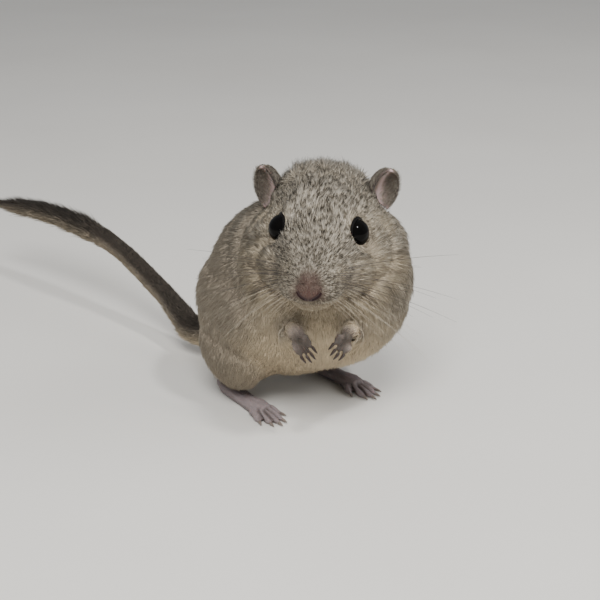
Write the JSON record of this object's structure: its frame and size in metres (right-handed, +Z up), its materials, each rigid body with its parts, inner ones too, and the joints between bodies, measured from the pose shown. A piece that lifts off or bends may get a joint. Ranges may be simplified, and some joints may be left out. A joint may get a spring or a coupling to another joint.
{
  "type": "gerbil",
  "caption": "Life-size gerbil sitting up on its hind feet, forepaws held at the chest, head turned to its right and tufted tail out behind.",
  "frame": {"origin": "under the middle of the whole model, tail and all, on the floor plane", "axes": "+X is the animal's left, -Y is the way its hips and hind feet face, +Z is up"},
  "size_m": [0.0442, 0.1604, 0.058],
  "materials": {
    "coat": "short dense fur, grey with fine dark and pale ticking, cream below",
    "tail_fur": "short dark fur that lengthens into a flat dark brush",
    "ear_skin": "thin dark skin with very short hairs, pinkish inside",
    "foot_skin": "grey-pink skin with sparse short pale hairs",
    "eye": "wet black",
    "claw": "smooth dark horn"
  },
  "bodies": {
    "root": {"torso": "coat", "neck": "coat", "head": "coat", "ear_left": "ear_skin", "ear_right": "ear_skin", "eye_left": "eye", "eye_right": "eye", "hind_leg_left": "coat", "hind_leg_right": "coat", "hind_foot_left": "foot_skin", "hind_foot_right": "foot_skin", "fore_leg_left": "coat", "fore_leg_right": "coat", "fore_paw_left": "foot_skin", "fore_paw_right": "foot_skin", "tail_root": "tail_fur", "tail_middle": "tail_fur", "tail_brush": "tail_fur", "fore_claw_left_1": "claw", "fore_claw_left_2": "claw", "fore_claw_left_3": "claw", "fore_claw_left_4": "claw", "fore_claw_right_1": "claw", "fore_claw_right_2": "claw", "fore_claw_right_3": "claw", "fore_claw_right_4": "claw", "hind_claw_left_1": "claw", "hind_claw_left_2": "claw", "hind_claw_left_3": "claw", "hind_claw_left_4": "claw", "hind_claw_left_5": "claw", "hind_claw_right_1": "claw", "hind_claw_right_2": "claw", "hind_claw_right_3": "claw", "hind_claw_right_4": "claw", "hind_claw_right_5": "claw"}
  },
  "joints": []
}
